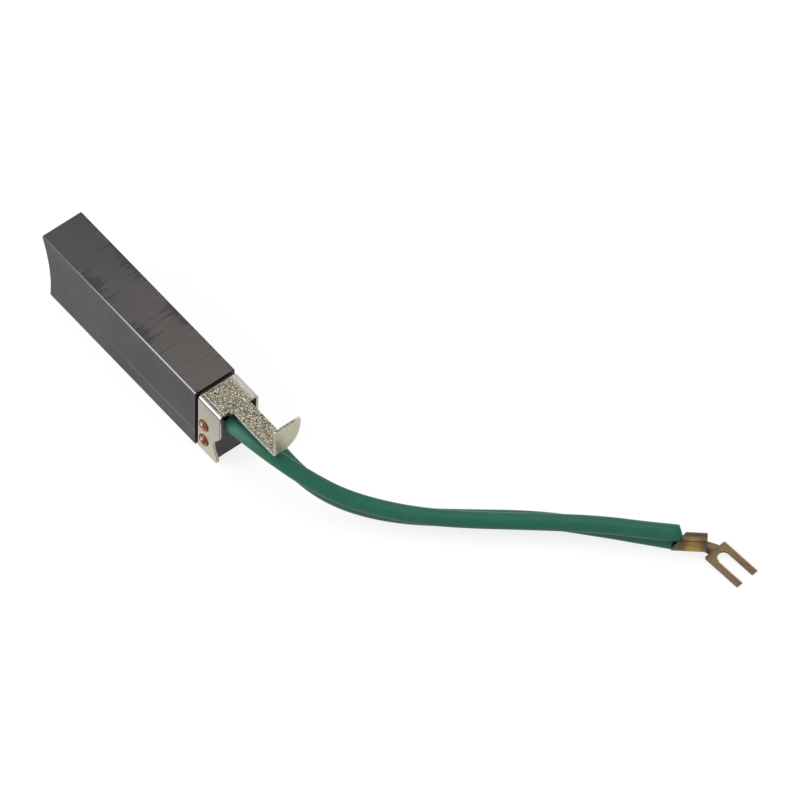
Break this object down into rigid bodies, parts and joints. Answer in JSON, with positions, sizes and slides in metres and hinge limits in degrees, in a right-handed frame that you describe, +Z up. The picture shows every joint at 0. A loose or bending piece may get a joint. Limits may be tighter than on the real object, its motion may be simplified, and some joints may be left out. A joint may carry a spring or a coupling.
{
  "type": "carbon brush",
  "caption": "Rectangular graphite brush with a concave contact end, a riveted sheet clip with an upturned tab, and sleeved leads to a fork terminal.",
  "frame": {"origin": "middle of the bottom of the brush without its leads: half-way between the contact edge and the tab, half-way across the block, on the side that the block lies on", "axes": "+X from the contact face to the leads, +Y across the block, +Z up"},
  "size_m": [0.2299, 0.1101, 0.039],
  "materials": {
    "carbon": "ground graphite, satin",
    "copper_powder": "tamped, dull",
    "clip_steel": "tinned, satin",
    "rivet_copper": "bright copper",
    "copper_strand": "fine stranded rope",
    "green_sleeve": "extruded, semi-gloss",
    "terminal_brass": "darkened, satin"
  },
  "bodies": {
    "root": {"carbon_block": "carbon", "left_tamping_plug": "copper_powder", "right_tamping_plug": "copper_powder", "brush_clip": "clip_steel", "upper_rivet": "rivet_copper", "lower_rivet": "rivet_copper", "left_conductor_root": "copper_strand", "right_conductor_root": "copper_strand", "left_lead_sleeve": "green_sleeve", "right_lead_sleeve": "green_sleeve", "left_conductor_tail": "copper_strand", "right_conductor_tail": "copper_strand", "fork_terminal": "terminal_brass"}
  },
  "joints": []
}
